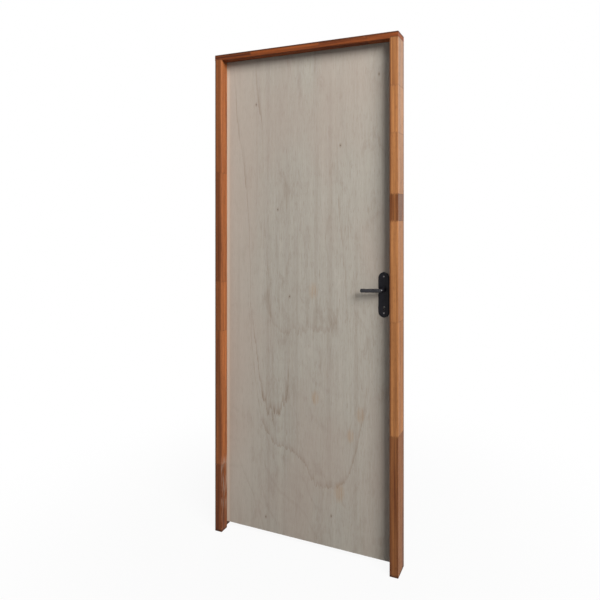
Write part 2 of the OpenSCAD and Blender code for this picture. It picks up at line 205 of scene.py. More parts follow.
# Tones over the bare veneer, in their order: the figure that each follows, the values at which it
# starts and is full, its strength and its finish.
VENEER_TONES = (
    ("fine", 0.30, 0.74, 0.48, VENEER_STREAK),
    ("blotches", 0.50, 0.70, 0.25, VENEER_BROWN),
    ("blotches", 0.46, 0.26, 0.28, CREAM_TONE_AND_PAINTED_LIGHT),
    ("flecks", 0.54, 0.70, 0.30, VENEER_BROWN),
    ("long_streaks", 0.50, 0.70, 0.14, VENEER_BROWN),
    ("long_streaks", 0.44, 0.28, 0.22, CREAM_TONE_AND_PAINTED_LIGHT),
    ("clouds", 0.42, 0.68, 0.45, VENEER_PINK),
    # Painted light: the veneer paler towards the low end of across, the hinge edge on the front
    # face.
    ("across", 0.30, 0.06, 0.40, VENEER_PAINTED_LIGHT),
    ("fibres", 0.45, 0.75, 0.20, VENEER_BROWN))
BACK_FIGURE_SHIFT = 5.3
# Painted bounce light in a cream strip by the front face's hinge edge: across, where it starts and
# is full, with its lowest and highest strength.
PAINTED_BOUNCE_LIGHT_ACROSS = (0.054, 0.038, 0.0, 0.65)
PLY_LAYER = 0.0009
PLY_STEP = (0.00035, 0.00055)

# Pin knots on the veneer's front face: across the leaf, and height.
PIN_KNOTS = ((0.188, 1.917), (0.595, 1.715), (0.765, 1.996), (0.297, 1.448), (0.356, 1.070),
             (0.237, 0.088), (0.553, 0.157))
KNOT_SIZE = 0.0022
KNOT_SQUASH = 0.55

# Rusty patches on the front face: across, height and size.
RUST_PATCHES = ((0.640, 0.507, 0.020), (0.684, 0.600, 0.024), (0.590, 0.262, 0.030),
                (0.470, 1.100, 0.026), (0.480, 0.645, 0.022))

# Growth lines that stand out on the leaf, as across and height, each with its strength, how far its
# shade reaches up, how ragged it is, and the height at which it has faded.
GROWTH_LINES = (
    (((0.10, 2.2), (0.13, 1.40), (0.155, 0.95), (0.176, 0.73), (0.20, 0.57), (0.235, 0.47),
      (0.29, 0.415), (0.36, 0.40), (0.43, 0.35), (0.465, 0.29), (0.51, 0.27), (0.57, 0.28),
      (0.62, 0.32), (0.65, 0.39), (0.685, 0.54), (0.705, 0.65), (0.72, 0.80), (0.728, 1.10),
      (0.74, 2.2)), 0.45, 0.045, 0.080, 1.30),
    (((0.12, 2.2), (0.14, 1.40), (0.166, 1.00), (0.19, 0.80), (0.205, 0.70), (0.22, 0.60),
      (0.24, 0.565), (0.27, 0.545), (0.30, 0.555), (0.33, 0.60), (0.345, 0.66), (0.355, 0.80),
      (0.365, 2.2)), 0.78, 0.070, 0.220, 1.10),
    (((0.20, 2.2), (0.235, 1.20), (0.27, 0.96), (0.30, 0.925), (0.34, 0.905), (0.38, 0.925),
      (0.41, 0.907), (0.46, 0.94), (0.50, 0.922), (0.55, 0.948), (0.58, 0.98), (0.60, 1.08),
      (0.62, 1.40), (0.64, 2.2)), 0.30, 0.045, 0.110, 1.60),
    (((0.03, 0.62), (0.07, 0.42), (0.108, 0.294), (0.14, 0.23), (0.186, 0.13), (0.22, -0.3)),
     0.30, 0.030, 0.030, 0.50),
    (((0.25, 2.2), (0.27, 0.62), (0.29, 0.50), (0.33, 0.475), (0.37, 0.485), (0.40, 0.53),
      (0.415, 0.62), (0.43, 2.2)), 0.42, 0.050, 0.160, 0.66),
    (((0.06, 2.2), (0.092, 1.81), (0.118, 1.65), (0.139, 1.49), (0.15, 1.31), (0.16, 1.04),
      (0.17, 0.5), (0.18, -0.3)), 0.50, 0.120, 0.160, 2.3),
    (((0.18, 2.2), (0.197, 1.94), (0.217, 1.80), (0.227, 1.58), (0.233, 1.31), (0.258, 1.05),
      (0.268, 0.8), (0.28, -0.3)), 0.42, 0.140, 0.160, 2.3),
    (((0.555, 2.2), (0.575, 1.70), (0.584, 1.49), (0.602, 1.32), (0.616, 1.19), (0.63, 0.9),
      (0.65, -0.3)), 0.40, 0.130, 0.160, 1.90))
GROWTH_TOP = 2.2
GROWTH_FOOT = -0.3
GROWTH_BEND = 0.022
GROWTH_FADE = 0.35
GROWTH_SHARP = 0.0015

# The faint rings: how many stand in a metre, how far they sway and how ragged and wide they are.
RINGS_PER_METRE = 7.0
RING_SWAY = 2.6
RING_RAGGED = 0.05
RING_WIDTH = 0.11
RING_HEIGHTS = (1.05, 0.55, 0.0, 0.10)

# The photograph's view. Its width, focal length and optical axis are in pixels.
PHOTO_WIDTH = 600
PHOTO_FOCAL = 519.90
PHOTO_AXIS = (351.23, 217.43)
CAMERA_PLACE = (1.4344, -1.9992, 1.4138)
CAMERA_TURN = 0.3758
SENSOR_WIDTH = 36.0

# The studio's lamps: name, power, size, place, aim and linear color.
LAMPS = (
    ("right_softbox", 438.0, (2.8, 2.4), (4.35, -2.75, 3.95), (0.45, 0.0, 1.2),
     (1.0, 0.985, 0.965)),
    ("left_fill", 3.0, (2.2, 2.2), (-2.2, -3.2, 2.0), (0.3, 0.0, 1.2), (0.97, 0.98, 1.0)),
    ("overhead_strip", 9.0, (2.4, 0.16), (0.7, -1.5, 3.9), (0.6, 0.0, 1.2), (0.95, 0.975, 1.0)),
    ("back_softbox", 170.0, (2.8, 2.4), (-2.4, 4.2, 3.6), (0.45, 0.0, 1.2), (1.0, 0.99, 0.97)))
WORLD_GLOW = 0.07
FLOOR_REACH = 14.0
FLOOR_GREY = 0.46
FLOOR_FADE = (0.4, 1.9, 0.93, 1.0)
WHITE = (1.0, 1.0, 1.0, 1.0)

MIX_FACTOR, MIX_A, MIX_B, MIX_RESULT = 0, 6, 7, 2


def srgb(color):
    """A finish's linear color, from its sRGB numbers."""
    def linear(c):
        c = c / 255
        return c / 12.92 if c <= 0.04045 else ((c + 0.055) / 1.055) ** 2.4
    return (*map(linear, color), 1.0)


class Graph:
    """Adds nodes to one node tree and wires them as they are made."""

    def __init__(self, tree):
        self.tree = tree
        tree.nodes.clear()

    def node(self, kind, sockets=(), **settings):
        made = self.tree.nodes.new(kind if kind.startswith("NodeGroup") else "ShaderNode" + kind)
        for name, value in settings.items():
            setattr(made, name, value)
        for socket, value in dict(sockets).items():
            self.feed(made.inputs[socket], value)
        return made

    def feed(self, socket, value):
        if isinstance(value, bpy.types.NodeSocket):
            self.tree.links.new(value, socket)
        else:
            socket.default_value = value

    def math(self, operation, *values, clamp=False):
        made = self.node("Math", operation=operation, use_clamp=clamp)
        for socket, value in zip(made.inputs, values):
            self.feed(socket, value)
        return made.outputs[0]

    def plus(self, a, b, clamp=False):
        return self.math("ADD", a, b, clamp=clamp)

    def minus(self, a, b, clamp=False):
        return self.math("SUBTRACT", a, b, clamp=clamp)

    def times(self, value, *others):
        for other in others:
            value = self.math("MULTIPLY", value, other)
        return value

    def highest(self, a, b):
        return self.math("MAXIMUM", a, b)

    def split(self, vector):
        return self.node("SeparateXYZ", {0: vector}).outputs

    def join(self, x, y, z):
        return self.node("CombineXYZ", {0: x, 1: y, 2: z}).outputs[0]

    def moved(self, place, by):
        return self.node("VectorMath", {0: place, 1: by}, operation="ADD").outputs[0]

    def noise(self, place, scale=1.0, detail=2.0, rough=0.5, warp=0.0):
        return self.node("TexNoise", {"Vector": place, "Scale": scale, "Detail": detail,
                                      "Roughness": rough, "Distortion": warp}).outputs[0]

    def drawn_noise(self, place, drawn, detail=2.0, rough=0.5, warp=0.0):
        """Noise that is drawn out by its own number along each axis."""
        place = self.node("VectorMath", {0: place, 1: drawn}, operation="MULTIPLY").outputs[0]
        return self.noise(place, 1.0, detail, rough, warp)

    def step(self, value, start, end, low=0.0, high=1.0):
        """A smooth change from low to high, while the value goes from start to end."""
        return self.node("MapRange", {"Value": value, "From Min": start, "From Max": end,
                                      "To Min": low, "To Max": high},
                         interpolation_type="SMOOTHSTEP").outputs[0]

    def curve(self, value, points, low, high):
        """The height of a line through the listed points over value, in metres. It stays between
        low and high.
        """
        made = self.node("FloatCurve", {"Value": value})
        line = made.mapping.curves[0]
        spots = [(across, (height - low) / (high - low)) for across, height in points]
        line.points[0].location, line.points[1].location = spots[0], spots[-1]
        for across, height in spots[1:-1]:
            line.points.new(across, height)
        for point in line.points:
            point.handle_type = "AUTO_CLAMPED"
        made.mapping.extend = "HORIZONTAL"
        made.mapping.update()
        return self.plus(self.times(made.outputs[0], high - low), low)

    def tint(self, factor, a, b):
        return self.node("Mix", {MIX_FACTOR: factor, MIX_A: a, MIX_B: b},
                         data_type="RGBA").outputs[MIX_RESULT]

    def paint(self, color, mask, finish, strength=1.0):
        """The color with a finish over it where the mask is."""
        if strength != 1.0:
            mask = self.times(mask, strength)
        return self.tint(mask, color, srgb(finish))

    def effect(self, name, **sockets):
        """A shared effect's outputs. An underscore stands for a space in an input's name."""
        made = self.node("Group", node_tree=bpy.data.node_groups[name])
        for socket, value in sockets.items():
            self.feed(made.inputs[socket.replace("_", " ")], value)
        return made.outputs


def shared_effect(name, inputs, outputs, build):
    """Makes a node group. An input has its number, or None if it is a place. Build returns the
    value of each output."""
    tree = bpy.data.node_groups.new(name, "ShaderNodeTree")
    g = Graph(tree)
    for label, value in inputs.items():
        kind = "NodeSocketVector" if value is None else "NodeSocketFloat"
        socket = tree.interface.new_socket(label, in_out="INPUT", socket_type=kind)
        if value is not None:
            socket.default_value = value
    for label in outputs:
        tree.interface.new_socket(label, in_out="OUTPUT", socket_type="NodeSocketFloat")
    made = build(g, g.node("NodeGroupInput").outputs)
    leave = g.node("NodeGroupOutput")
    for label, value in zip(outputs, made):
        g.feed(leave.inputs[label], value)


def facing(g):
    """How far a surface faces along each of the door's axes."""
    return g.split(g.node("TexCoord").outputs["Normal"])


def grain_effect(g, given):
    """Broad bands of tone, long streaks along Z and short dark pores."""
    shift = g.times(given["Seed"], LENGTH_SHIFT)
    place = g.moved(given["Place"], g.join(shift, shift, shift))
    bands = g.drawn_noise(place, WOOD_BANDS, detail=3, warp=0.6)
    streaks = g.drawn_noise(place, WOOD_STREAKS, detail=3, rough=0.62, warp=0.3)
    pores = g.step(g.drawn_noise(place, WOOD_PORES, detail=1), 0.60, 0.70)
    return bands, streaks, pores


def wear_effect(g, given):
    """Where an edge is rubbed: a rounded edge's normal against the face's own, broken by noise."""
    rounded = g.node("Bevel", {"Radius": given["Width"]}, samples=6).outputs[0]
    own = g.node("NewGeometry").outputs["Normal"]
    alike = g.node("VectorMath", {0: rounded, 1: own}, operation="DOT_PRODUCT").outputs["Value"]
    patches = g.noise(given["Place"], given["Patch Scale"], detail=4, rough=0.6)
    return [g.times(g.step(alike, 0.99, 0.86), g.step(patches, 0.38, 0.62))]


def dust_effect(g, given):
    """Dust that lies on upward faces, thin and uneven."""
    upward = g.step(facing(g)["Z"], 0.35, 0.95)
    drift = g.step(g.noise(given["Place"], DRIFT_SCALE, detail=2), 0.3, 0.7)
    specks = g.step(g.noise(given["Place"], SPECK_SCALE, detail=3, rough=0.7), 0.35, 0.75)
    return [g.times(upward, drift, specks, given["Amount"])]


def handling_effect(g, given):
    """Smudges and fine scratches that change the gloss of a hard surface."""
    smudges = g.noise(given["Place"], given["Smudge Scale"], detail=4, rough=0.6, warp=0.4)
    scratches = g.drawn_noise(given["Place"], SCRATCHES, detail=2, warp=0.8)
    return smudges, g.step(scratches, 0.60, 0.66)


def growth_effect(g, given):
    """One dark growth line: sharp below, fading upwards over its reach, and broken."""
    sharp = g.step(given["Above"], -GROWTH_SHARP, GROWTH_SHARP)
    fading = g.minus(1.0, g.math("DIVIDE", given["Above"], given["Reach"]), clamp=True)
    breaks = g.drawn_noise(given["Place"], GROWTH_BREAKS, detail=4, rough=0.65)
    return [g.times(sharp, g.math("POWER", fading, 2.0), g.step(breaks, 0.34, 0.60, 0.10, 1.0))]


def knot_effect(g, given):
    """A pin knot: a small dark spot with a soft halo, both drawn out along the grain."""
    across = g.minus(given["Across"], given["Knot Across"])
    height = g.times(g.minus(given["Height"], given["Knot Height"]), KNOT_SQUASH)
    away = g.math("SQRT", g.plus(g.times(across, across), g.times(height, height)))
    reach = g.math("DIVIDE", away, given["Size"])
    return g.step(reach, 1.0, 0.35), g.step(reach, 3.4, 0.9)


def make_effects():
    shared_effect("wood_grain", {"Place": None, "Seed": 0.0}, ("Bands", "Streaks", "Pores"),
                  grain_effect)
    shared_effect("edge_wear", {"Place": None, "Width": 0.002, "Patch Scale": 60.0}, ("Mask",),
                  wear_effect)
    shared_effect("dust", {"Place": None, "Amount": 0.5}, ("Mask",), dust_effect)
    shared_effect("handling", {"Place": None, "Smudge Scale": 30.0}, ("Smudges", "Scratches"),
                  handling_effect)
    shared_effect("growth_line", {"Place": None, "Above": 0.0, "Reach": 0.03}, ("Mask",),
                  growth_effect)
    shared_effect("pin_knot", {"Across": 0.0, "Height": 0.0, "Knot Across": 0.0,
                               "Knot Height": 0.0, "Size": KNOT_SIZE}, ("Knot", "Halo"),
                  knot_effect)


def new_finish(name):
    """A new material, its graph, and the place on the door in metres."""
    material = bpy.data.materials.new(name)
    material.use_nodes = True
    g = Graph(material.node_tree)
    return material, g, g.node("TexCoord").outputs["Object"]


def close_finish(g, color, roughness, height, depth, **fixed):
    """The surface of a finish. Depth is how far its highest relief stands, in metres."""
    bump = g.node("Bump", {"Height": height, "Distance": depth, "Strength": 1.0})
    surface = g.node("BsdfPrincipled", {"Base Color": color, "Roughness": roughness,
                                        "Normal": bump.outputs[0]})
    for label, value in fixed.items():
        g.feed(surface.inputs[label.replace("_", " ")], value)
    g.node("OutputMaterial", {0: surface.outputs[0]})


def rubbed_edges(g, color, place, finish, wear):
    """The color with another finish where its edges are rubbed."""
    width, patches, strength = wear
    mask = g.effect("edge_wear", Place=place, Width=width, Patch_Scale=patches)["Mask"]
    return g.paint(color, mask, finish, strength)


def along_grain(g, place, along):
    """The place, turned so that Z runs along the grain."""
    axes = g.split(place)
    return place if along == "Z" else g.join(axes["Z"], axes["Y"], axes["X"])


def jointed_lengths(g, run, side, lengths):
    """The tone and number of the length at each place, and the glued fingers between lengths."""
    fingers = g.times(g.math("PINGPONG", side, FINGER_WIDTH), FINGER_SLOPE)
    stepped = g.plus(run, fingers)
    tone, number, lines = lengths[0][1], 0.0, 0.0
    for start, own_tone in lengths[1:]:
        past = g.math("GREATER_THAN", stepped, start)
        tone = g.plus(g.times(past, g.minus(own_tone, tone)), tone)
        number = g.plus(number, past)
        away = g.math("ABSOLUTE", g.minus(stepped, start))
        lines = g.highest(lines, g.math("LESS_THAN", away, JOINT_LINE))
    return tone, number, lines


def joined_hardwood(name, lengths, shades, outer_edge, along="Z", front_painted_shade=None, fade_and_painted_light=0.0,
                    smear=False):
    """Oiled hardwood in finger jointed lengths, with painted shade on its front face. Its painted
    light is how much paler the outer side is painted at its top.
    """
    material, g, place = new_finish(name)
    axes = g.split(place)
    run, side = (axes["Z"], axes["X"]) if along == "Z" else (axes["X"], axes["Z"])
    tone, number, lines = jointed_lengths(g, run, side, lengths)
    grain = g.effect("wood_grain", Place=along_grain(g, place, along), Seed=number)
    streaks = g.times(g.minus(grain["Streaks"], 0.5), STREAK_WEIGHT)
    bands = g.times(g.minus(grain["Bands"], 0.5), BAND_WEIGHT)
    dark, light = shades
    color = g.tint(g.plus(g.plus(tone, streaks), bands, clamp=True), srgb(dark), srgb(light))
    faces = facing(g)
    # Painted shade: a band of the front face darkened to the wood's dark tone.
    if front_painted_shade:
        strip = g.times(g.step(faces["Y"], -0.5, -0.9),
                        g.step(axes["X"], *front_painted_shade[:2], 0.0, front_painted_shade[2]))
        color = g.paint(color, strip, dark)
    # Painted light: the side facing +X painted paler towards its top.
    if fade_and_painted_light:
        pale = g.times(g.step(faces["X"], 0.5, 0.9),
                       g.step(axes["Z"], *PAINTED_LIGHT_HEIGHTS, 0.0, fade_and_painted_light))
        color = g.paint(color, pale, CREAM_TONE_AND_PAINTED_LIGHT)
    color = g.paint(color, grain["Pores"], GLUE_AND_PAINTED_SHADOW, PORE_STRENGTH)
    color = g.paint(color, lines, GLUE_AND_PAINTED_SHADOW, JOINT_STRENGTH)
    # Rubbed, lighter edges: partly real wear, partly a painted highlight along the arrises.
    color = rubbed_edges(g, color, place, light, WOOD_WEAR_AND_PAINTED_HIGHLIGHT)
    if smear:
        color = g.paint(color, glue_smear(g, place, axes), GLUE_SMEAR)
    # Darker outer edges and feet, and a painted shadow at each jamb's top under the head.
    color = g.paint(color, dark_edges_and_painted_shadow(g, place, axes, outer_edge), GLUE_AND_PAINTED_SHADOW)
    dust = g.effect("dust", Place=place, Amount=WOOD_DUST)["Mask"]
    color = g.paint(color, dust, CREAM_TONE_AND_PAINTED_LIGHT)
    oiled = g.step(grain["Bands"], 0.2, 0.8, *WOOD_ROUGHNESS)
    roughness = g.plus(oiled, g.times(g.highest(grain["Pores"], dust), 0.3))
    relief = g.minus(g.times(grain["Streaks"], 0.5), g.highest(grain["Pores"], lines))
    close_finish(g, color, roughness, relief, WOOD_RELIEF, Specular_IOR_Level=WOOD_SHINE)
    return material


def dark_edges_and_painted_shadow(g, place, axes, outer_edge):
    """Darker along a member's outer edge and on its end grain at the floor, and a painted shadow in
    a line at a jamb's top, under the head.
    The outer edge is its axis, its place on it and the direction inward."""
    axis, edge, inward = outer_edge
    uneven = g.times(g.drawn_noise(place, DARKENING_PATCHES, detail=3), DARKENING_UNEVEN)
    depth = g.minus(g.times(g.minus(axes[axis], edge), inward), uneven)
    ends = g.step(g.minus(axes["Z"], uneven), *FOOT_DARKENING)
    if axis != "Z":
        # Painted shadow: a dark line at each jamb's top, where the head sits.
        ends = g.highest(ends, g.step(axes["Z"], *JOINT_PAINTED_SHADOW))
    return g.highest(g.step(depth, *EDGE_DARKENING), ends)


def glue_smear(g, place, axes):
    """Thin whitish glue wiped down the foot of the hinge jamb's reveal."""
    patches = g.drawn_noise(place, SMEAR_PATCHES, detail=4, rough=0.65)
    below, above = g.step(axes["Z"], *SMEAR_TOP), g.step(axes["Z"], *SMEAR_FOOT)
    reveal = g.step(axes["X"], *SMEAR_REVEAL)
    return g.times(g.step(patches, 0.40, 0.62), below, above, reveal, SMEAR_STRENGTH)


def leaf_veneer(name, shift, front):
    """Raw crown cut veneer on the leaf's faces, and the ply's layers on its edges."""
    material, g, place = new_finish(name)
    axes = g.split(place)
    height = axes["Z"]
    across = axes["X"] if front else g.minus(LEAF_HINGE_EDGE + LEAF_LOCK_EDGE, axes["X"])
    shifted = g.moved(place, (shift, 0.0, shift))
    figure = {label: g.drawn_noise(shifted, *look) for label, look in VENEER_FIGURE.items()}
    figure["across"] = across
    color = srgb(RAW_VENEER)
    for label, start, full, strength, finish in VENEER_TONES:
        color = g.paint(color, g.step(figure[label], start, full, 0.0, strength), finish)
    color = growth_rings(g, color, across, height, g.minus(figure["spikes"], 0.5), shifted)
    if front:
        color = rust_patches(g, color, across, height, figure["fine"])
        # Painted bounce light from the jamb's reveal, in a cream strip by the hinge edge.
        color = g.paint(color, g.step(across, *PAINTED_BOUNCE_LIGHT_ACROSS), PAINTED_BOUNCE_LIGHT)
    color = pin_knots(g, color, across, height, PIN_KNOTS if front else PIN_KNOTS[::2])
    color = ply_edge(g, color, axes["Y"], figure["fine"])
    roughness = g.step(figure["fine"], 0.3, 0.7, *VENEER_ROUGHNESS)
    relief = g.plus(g.times(figure["fine"], 0.6), g.times(figure["fibres"], 0.4))
    close_finish(g, color, roughness, relief, VENEER_RELIEF, Specular_IOR_Level=VENEER_SHINE)
    return material


def growth_rings(g, color, across, height, spikes, place):
    """The growth lines that stand out, and the faint ones."""
    wander = g.minus(g.drawn_noise(place, GROWTH_WANDER, detail=2), 0.5)
    bent = g.plus(across, g.times(wander, GROWTH_BEND))
    for points, strength, reach, ragged, fade_and_painted_light in GROWTH_LINES:
        level = g.plus(height, g.times(spikes, ragged))
        above = g.minus(level, g.curve(bent, points, GROWTH_FOOT, GROWTH_TOP))
        mark = g.effect("growth_line", Place=place, Above=above, Reach=reach)["Mask"]
        fade = g.step(height, fade_and_painted_light, fade_and_painted_light - GROWTH_FADE, 0.0, strength)
        color = g.paint(color, g.times(mark, fade), GROWTH_BROWN)
    return g.paint(color, faint_rings(g, bent, height, spikes, place), VENEER_BROWN)


def faint_rings(g, bent, height, spikes, place):
    """Faint lines low on the leaf, which follow the first growth line."""
    level = g.plus(height, g.times(spikes, RING_RAGGED))
    first = g.minus(level, g.curve(bent, GROWTH_LINES[0][0], GROWTH_FOOT, GROWTH_TOP))
    drift = g.drawn_noise(place, RING_DRIFT, detail=1)
    rings = g.plus(g.times(first, RINGS_PER_METRE), g.times(drift, RING_SWAY))
    lines = g.step(g.math("PINGPONG", rings, 0.5), RING_WIDTH, 0.0)
    patches = g.step(g.drawn_noise(place, RING_PATCHES, detail=2), 0.40, 0.64)
    return g.times(lines, patches, g.step(height, *RING_HEIGHTS))


def rust_patches(g, color, across, height, fine):
    """Rusty patches, broken up by the fine figure."""
    for spot_across, spot_height, size in RUST_PATCHES:
        spot = g.effect("pin_knot", Across=across, Height=height, Knot_Across=spot_across,
                        Knot_Height=spot_height, Size=size)["Knot"]
        color = g.paint(color, g.times(spot, g.step(fine, 0.35, 0.65, 0.0, 0.60)), VENEER_RUST)
    return color


def pin_knots(g, color, across, height, spots):
    """Pin knots with their halos."""
    knots, halos = 0.0, 0.0
    for knot_across, knot_height in spots:
        knot = g.effect("pin_knot", Across=across, Height=height, Knot_Across=knot_across,
                        Knot_Height=knot_height)
        knots = g.highest(knots, knot["Knot"])
        halos = g.highest(halos, knot["Halo"])
    color = g.paint(color, halos, VENEER_BROWN, 0.35)
    return g.paint(color, knots, KNOT_BROWN, 0.9)


def ply_edge(g, color, depth, fine):
    """The ply's layers, where the skin's edge shows."""
    edge = g.step(g.math("ABSOLUTE", facing(g)["Y"]), 0.7, 0.3)
    layers = g.step(g.math("PINGPONG", depth, PLY_LAYER), *PLY_STEP)
    ply = g.paint(srgb(PLY_CORE), layers, RAW_SOFTWOOD)
    return g.tint(edge, color, g.paint(ply, g.step(fine, 0.4, 0.7, 0.0, 0.5), PLY_CORE))


def raw_softwood(name, along):
    """Sawn softwood for the leaf's stiles and rails, where their edges show."""
    material, g, place = new_finish(name)
    grain_place = along_grain(g, place, along)
    grain = g.effect("wood_grain", Place=grain_place, Seed=4.0)
    rings = g.drawn_noise(grain_place, SOFTWOOD_RINGS, detail=2, warp=0.4)
    color = g.paint(srgb(RAW_SOFTWOOD), g.step(rings, 0.5, 0.62, 0.0, 0.6), SOFTWOOD_LATEWOOD)
    color = g.paint(color, g.step(grain["Streaks"], 0.4, 0.8, 0.0, 0.4), SOFTWOOD_LATEWOOD)
    saw = g.drawn_noise(grain_place, SAW_MARKS, detail=2)
    relief = g.plus(g.times(saw, 0.5), g.times(grain["Streaks"], 0.5))
    roughness = g.step(grain["Bands"], 0.3, 0.7, *SAWN_ROUGHNESS)
    close_finish(g, color, roughness, relief, SAWN_RELIEF)
    return material


def chip_core(name):
    """Pressed chips of the leaf's core."""
    material, g, place = new_finish(name)
    chips = g.node("TexVoronoi", {"Vector": place, "Scale": CHIP_SCALE, "Randomness": 1.0})
    tone = g.split(chips.outputs["Color"])["X"]
    color = g.paint(srgb(CHIP_LIGHT), tone, CHIP_DARK)
    roughness = g.step(tone, 0.0, 1.0, *CHIP_ROUGHNESS)
    close_finish(g, color, roughness, chips.outputs["Distance"], CHIP_RELIEF)
    return material


def plated_steel(name, plating, roughness_range):
    """Plated steel with a fine brushed lay, smudges and rubbed edges."""
    material, g, place = new_finish(name)
    marks = g.effect("handling", Place=place, Smudge_Scale=55.0)
    brushed = g.drawn_noise(place, BRUSHED_LAY, detail=2)
    dull = tuple(0.72 * part for part in plating)
    color = g.paint(srgb(plating), g.step(marks["Smudges"], 0.35, 0.75, 0.0, 0.7), dull)
    color = rubbed_edges(g, color, place, SCREW_PLATING, STEEL_WEAR)
    uneven = g.plus(g.times(brushed, 0.4), g.times(marks["Smudges"], 0.6))
    roughness = g.step(uneven, 0.3, 0.7, *roughness_range)
    relief = g.minus(brushed, marks["Scratches"])
    close_finish(g, color, roughness, relief, STEEL_RELIEF, Metallic=1.0)
    return material


def black_lacquer(name, roughness_range, shine):
    """Black lacquer over metal on the lever set, worn at its edges."""
    material, g, place = new_finish(name)
    marks = g.effect("handling", Place=place, Smudge_Scale=42.0)
    peel = g.noise(place, PEEL_SCALE, detail=2)
    dust = g.effect("dust", Place=place, Amount=LACQUER_DUST)["Mask"]
    color = g.paint(srgb(BLACK_COAT), g.step(marks["Smudges"], 0.4, 0.75, 0.0, 0.07), WORN_COAT)
    color = rubbed_edges(g, color, place, WORN_COAT, LACQUER_WEAR)
    color = g.paint(color, dust, CREAM_TONE_AND_PAINTED_LIGHT)
    roughness = g.step(marks["Smudges"], 0.3, 0.75, *roughness_range)
    relief = g.minus(g.times(peel, 0.6), g.times(marks["Scratches"], 0.5))
    close_finish(g, color, roughness, relief, LACQUER_RELIEF, Specular_IOR_Level=shine)
    return material


def dress(finish, *names):
    """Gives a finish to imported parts."""
    for name in names:
        mesh = NODES[name].data
        mesh.materials.clear()
        mesh.materials.append(finish)
        for face in mesh.polygons:
            face.material_index = 0


def ring(bm, radius, height):
    turns = [2 * math.pi * i / RIM_POINTS for i in range(RIM_POINTS)]
    return [bm.verts.new((radius * math.cos(t), radius * math.sin(t), height)) for t in turns]


def wall(bm, lower, upper):
    """Faces between two rings of as many points."""
    count = len(lower)
    for i in range(count):
        j = (i + 1) % count
        bm.faces.new((lower[i], lower[j], upper[j], upper[i]))


def cross_points(bm, reach, half_width, height):
    """The outline of a cross recess, anticlockwise."""
    corner = ((reach, -half_width), (reach, half_width), (half_width, half_width))
    points = []
    for quarter in range(4):
        turn = Matrix.Rotation(quarter * math.pi / 2, 2)
        for x, y in corner:
            spot = turn @ Vector((x, y))
            points.append(bm.verts.new((spot.x, spot.y, height)))
    return points


def zip_rings(bm, outer, inner):
    """Triangles between an outer ring and an inner outline with another count of points, matched
    by their turn."""
    def turn(vert):
        return math.atan2(vert.co.y, vert.co.x) % (2 * math.pi)
    outer = sorted(outer, key=turn)
    inner = sorted(inner, key=turn)
    i = j = 0
    while i < len(outer) or j < len(inner):
        a, b = outer[i % len(outer)], inner[j % len(inner)]
        next_a, next_b = outer[(i + 1) % len(outer)], inner[(j + 1) % len(inner)]
        turn_a = turn(next_a) + (2 * math.pi if i + 1 >= len(outer) else 0)
        turn_b = turn(next_b) + (2 * math.pi if j + 1 >= len(inner) else 0)
        if j >= len(inner) or (i < len(outer) and turn_a <= turn_b):
            bm.faces.new((a, next_a, b))
            i += 1
        else:
            bm.faces.new((a, next_b, b))
            j += 1


def screw_shape(bm, profile):
    """A screw with a cross recess in its head."""
    rings = [ring(bm, radius, height) for radius, height in profile]
    for upper, lower in zip(rings, rings[1:]):
        wall(bm, lower, upper)
    bm.faces.new(list(reversed(rings[-1])))
    top = profile[0][1]
    mouth = cross_points(bm, RECESS_REACH, RECESS_HALF, top)
    floor = cross_points(bm, RECESS_FLOOR_REACH, RECESS_FLOOR_HALF, top - RECESS_DEPTH)
    zip_rings(bm, rings[0], mouth)
    wall(bm, floor, mouth)
    bm.faces.new(floor)


def screws(name, body, finish, spots, outward, profile):
    """A set of screws in their holes, as one piece. Each spot is the middle of a hole's mouth."""
    bm = bmesh.new()
    upright = Vector(outward).to_track_quat("Z", "Y").to_matrix().to_4x4()
    for count, spot in enumerate(spots):
        one = bmesh.new()
        screw_shape(one, profile)
        bmesh.ops.recalc_face_normals(one, faces=one.faces)
        turned = Matrix.Rotation(FIRST_TURN + NEXT_TURN * count, 4, "Z")
        one.transform(Matrix.Translation(spot) @ upright @ turned)
        mesh = bpy.data.meshes.new("one_screw")
        one.to_mesh(mesh)
        bm.from_mesh(mesh)
        bpy.data.meshes.remove(mesh)
        one.free()
    mesh = bpy.data.meshes.new(name)
    bm.to_mesh(mesh)
    bm.free()
    for face in mesh.polygons:
        face.use_smooth = True
    mesh.set_sharp_from_angle(angle=SMOOTH_BELOW)
    mesh.materials.append(finish)
    piece = bpy.data.objects.new(name, mesh)
    bpy.context.scene.collection.objects.link(piece)
    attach(piece, body)


def add_hinge_screws(finish):
    sides = (("frame", FRAME_HINGE_MOUTH, (1, 0, 0)), ("leaf", LEAF_HINGE_MOUTH, (-1, 0, 0)))
    for where, bottom in HINGE_BOTTOMS.items():
        for side, mouth, outward in sides:
            spots = [(mouth, HINGE_SCREW_DEPTHS[i % 2],
                      bottom + HINGE_SCREW_FIRST + i * HINGE_SCREW_PITCH)
                     for i in range(HINGE_SCREWS)]
            screws(f"{side}_hinge_screws_{where}", side, finish, spots, outward,
                   SUNK_HEAD)


def screw_pair(x, y, middle, reach):
    """Places for one screw below and one above the middle."""
    return [(x, y, middle - reach), (x, y, middle + reach)]


def middle_height(node):
    low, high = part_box(node)
    return (low.z + high.z) / 2


def add_lock_screws(finish):
    middle = middle_height("lock_forend")
    forend_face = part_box("lock_forend")[1].x
    screws("forend_screws", "leaf", finish,
           screw_pair(forend_face, LOCK_DEPTH, middle, FOREND_SCREW_REACH), (1, 0, 0), SUNK_HEAD)
    strike_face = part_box("strike_plate")[0].x
    screws("strike_screws", "frame", finish,
           screw_pair(strike_face, LOCK_DEPTH, middle, STRIKE_SCREW_REACH), (-1, 0, 0), SUNK_HEAD)


